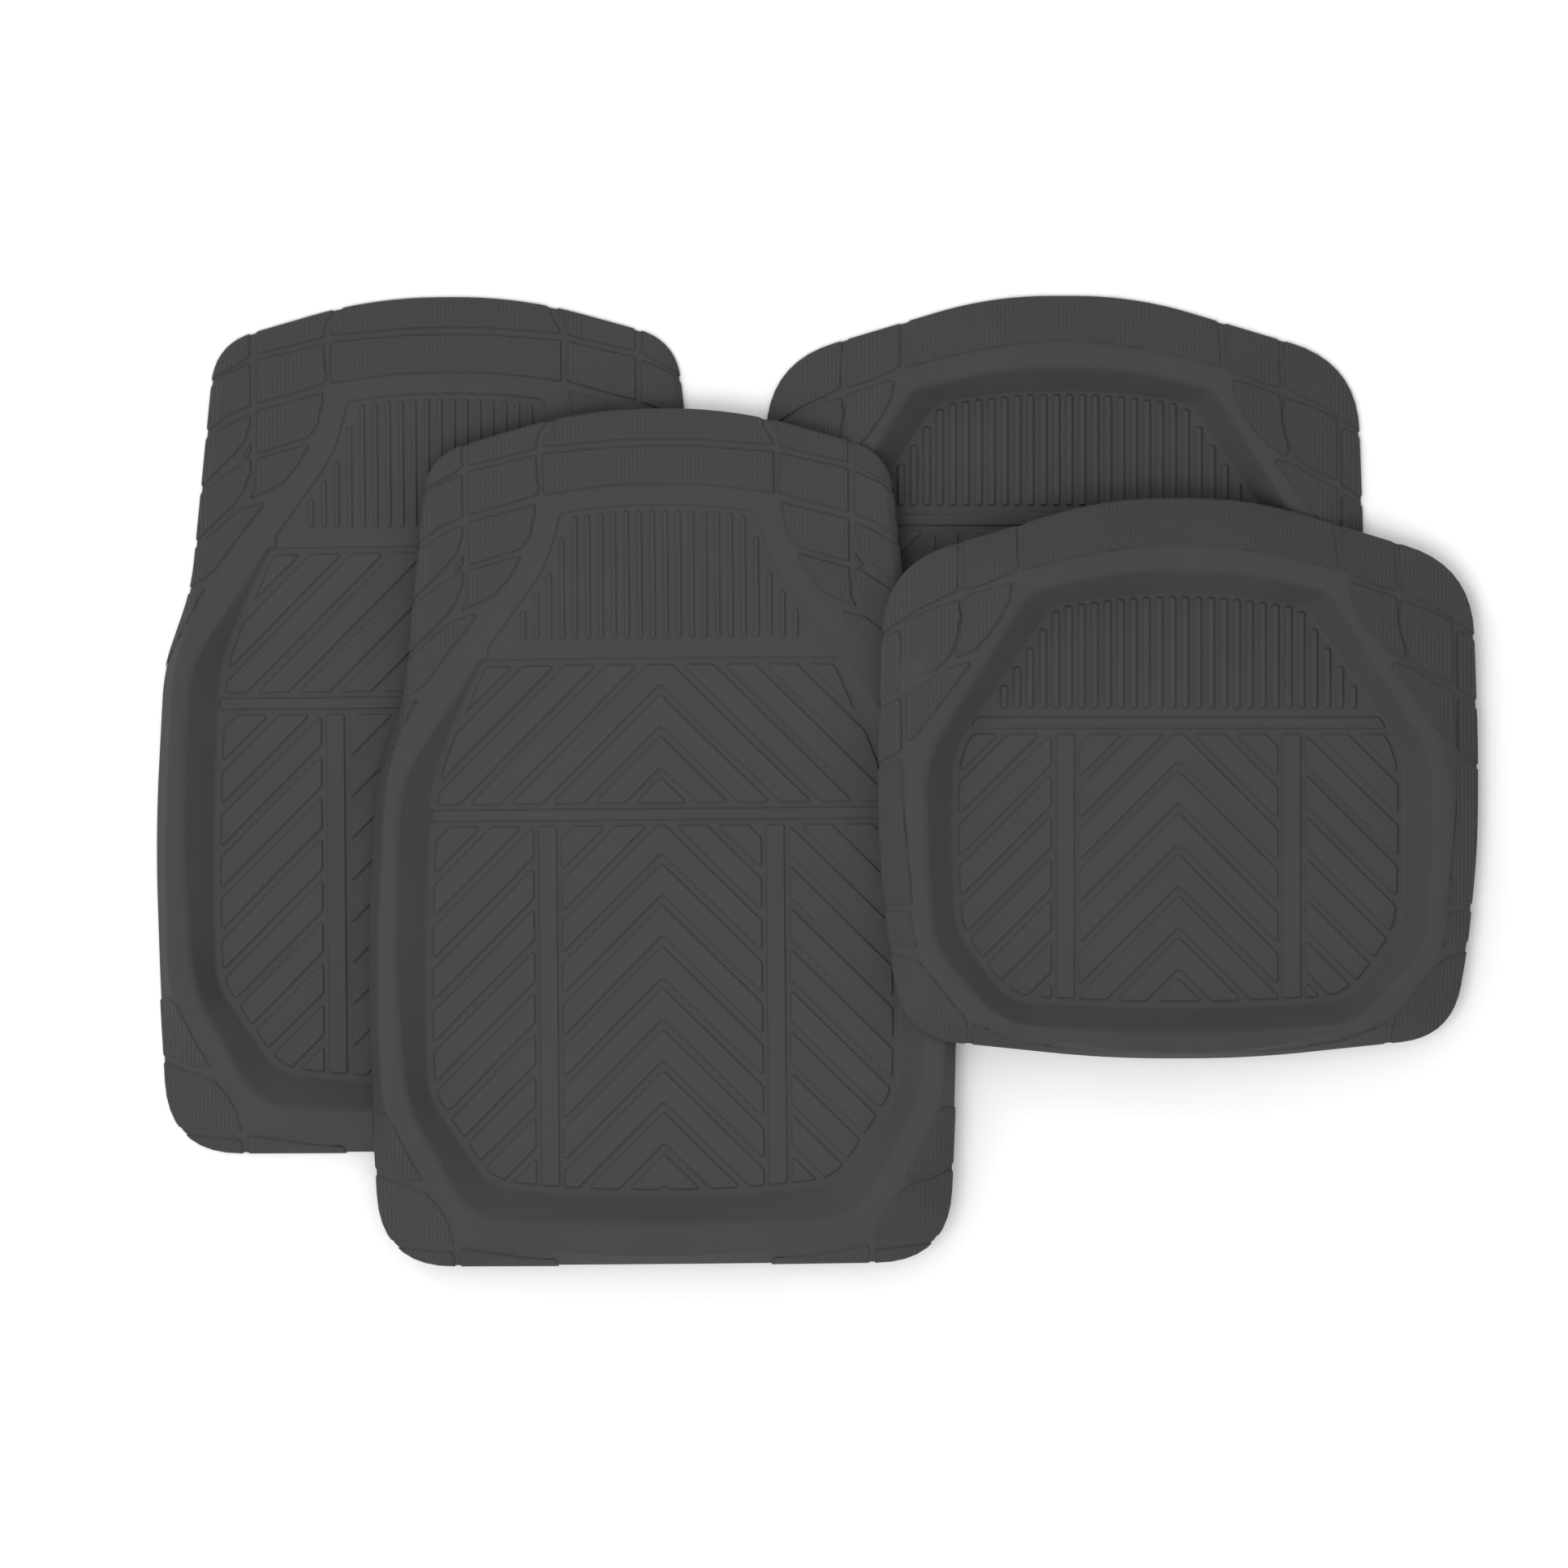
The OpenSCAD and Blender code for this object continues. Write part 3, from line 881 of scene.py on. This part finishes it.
def shader_node(tree, kind, inputs=(), **settings):
    """Adds a shader node with its settings. An input is a value, or the output socket to link."""
    made = tree.nodes.new(kind)
    for key, value in settings.items():
        setattr(made, key, value)
    for key, value in dict(inputs).items():
        if isinstance(value, bpy.types.NodeSocket):
            tree.links.new(value, made.inputs[key])
        else:
            made.inputs[key].default_value = value
    return made


# %% Moulded rubber
RUBBER_DARK = "#343434"
RUBBER_LIGHT = "#393939"
RUBBER_IOR = 1.46
SMOOTHEST = 0.76
ROUGHEST = 0.86
GRAIN_MM = 1.6
GRAIN_DEPTH_MM = 0.3
GRAIN_STRENGTH = 0.25
PATCH_MM = 90.0


def moulded_rubber():
    """Dark grey matt rubber, with a fine grain and faint broad patches."""
    material = bpy.data.materials.new("moulded_rubber")
    material.use_nodes = True
    tree = material.node_tree
    shader = tree.nodes["Principled BSDF"]
    shader.inputs["IOR"].default_value = RUBBER_IOR
    place = shader_node(tree, "ShaderNodeTexCoord").outputs["Object"]
    grain = shader_node(tree, "ShaderNodeTexNoise", {
        "Vector": place, "Scale": 1000 / GRAIN_MM, "Detail": 3.0, "Roughness": 0.6})
    patches = shader_node(tree, "ShaderNodeTexNoise", {
        "Vector": place, "Scale": 1000 / PATCH_MM, "Detail": 4.0, "Roughness": 0.55})
    tint = shader_node(tree, "ShaderNodeValToRGB", {"Fac": patches.outputs["Fac"]})
    for stop, share, code in zip(tint.color_ramp.elements, (0.35, 0.65), (RUBBER_DARK, RUBBER_LIGHT)):
        stop.position = share
        stop.color = srgb(code)
    wear = shader_node(tree, "ShaderNodeMapRange", {
        "Value": patches.outputs["Fac"], "From Min": 0.3, "From Max": 0.7,
        "To Min": SMOOTHEST, "To Max": ROUGHEST})
    bump = shader_node(tree, "ShaderNodeBump", {
        "Height": grain.outputs["Fac"], "Strength": GRAIN_STRENGTH,
        "Distance": GRAIN_DEPTH_MM * MILLIMETRE})
    tree.links.new(tint.outputs["Color"], shader.inputs["Base Color"])
    tree.links.new(wear.outputs["Result"], shader.inputs["Roughness"])
    tree.links.new(bump.outputs["Normal"], shader.inputs["Normal"])
    return material


rubber = moulded_rubber()
for mat in mats:
    mat.data.materials.clear()
    mat.data.materials.append(rubber)
print("materials:", [m.name for m in bpy.data.materials])

# %% [markdown]
# ## Floor and light
#
# Black rubber needs even light, or half of its relief drowns in shadow. The sky is plain white and
# does most of the work. A wide softbox high above brightens what looks up, and a smaller one, far to
# the upper left, leaves a thin dark line along each edge that turns away from it. The floor is white
# card, and the Standard view keeps it white.

# %% Floor, in metres
CARD = "#fafafa"
CARD_ROUGHNESS = 0.9
CARD_SIZE = 20.0
CARD_Z = -0.0005


def white_paper():
    """Plain matt white card."""
    material = bpy.data.materials.new("white_paper")
    material.use_nodes = True
    shader = material.node_tree.nodes["Principled BSDF"]
    shader.inputs["Base Color"].default_value = srgb(CARD)
    shader.inputs["Roughness"].default_value = CARD_ROUGHNESS
    return material


only(mats[0])
bpy.ops.object.select_all(action="DESELECT")
bpy.ops.mesh.primitive_plane_add(size=CARD_SIZE, location=(0, 0, CARD_Z))
floor = bpy.context.object
floor.name = "studio_floor"
floor.data.materials.append(white_paper())
print("floor:", floor.name, "at", CARD_Z)

# %% Light, in watts and metres
SKY = "#ffffff"
SKY_STRENGTH = 0.8


def softbox(name, watts, size, place):
    """A square lamp that looks at the middle of the set."""
    data = bpy.data.lights.new(name, "AREA")
    data.energy = watts
    data.size = size
    lamp = bpy.data.objects.new(name, data)
    bpy.context.scene.collection.objects.link(lamp)
    lamp.location = place
    lamp.rotation_euler = (-Vector(place)).to_track_quat("-Z", "Y").to_euler()
    print("lamp:", name, watts, "W")


softbox("top", watts=60.0, size=2.4, place=(-0.9, -1.1, 3.6))
softbox("side", watts=45.0, size=1.6, place=(-3.4, 3.4, 3.0))
world = bpy.data.worlds.new("studio")
world.use_nodes = True
world.node_tree.nodes["Background"].inputs["Color"].default_value = srgb(SKY)
world.node_tree.nodes["Background"].inputs["Strength"].default_value = SKY_STRENGTH
bpy.context.scene.world = world
bpy.context.scene.view_settings.view_transform = "Standard"
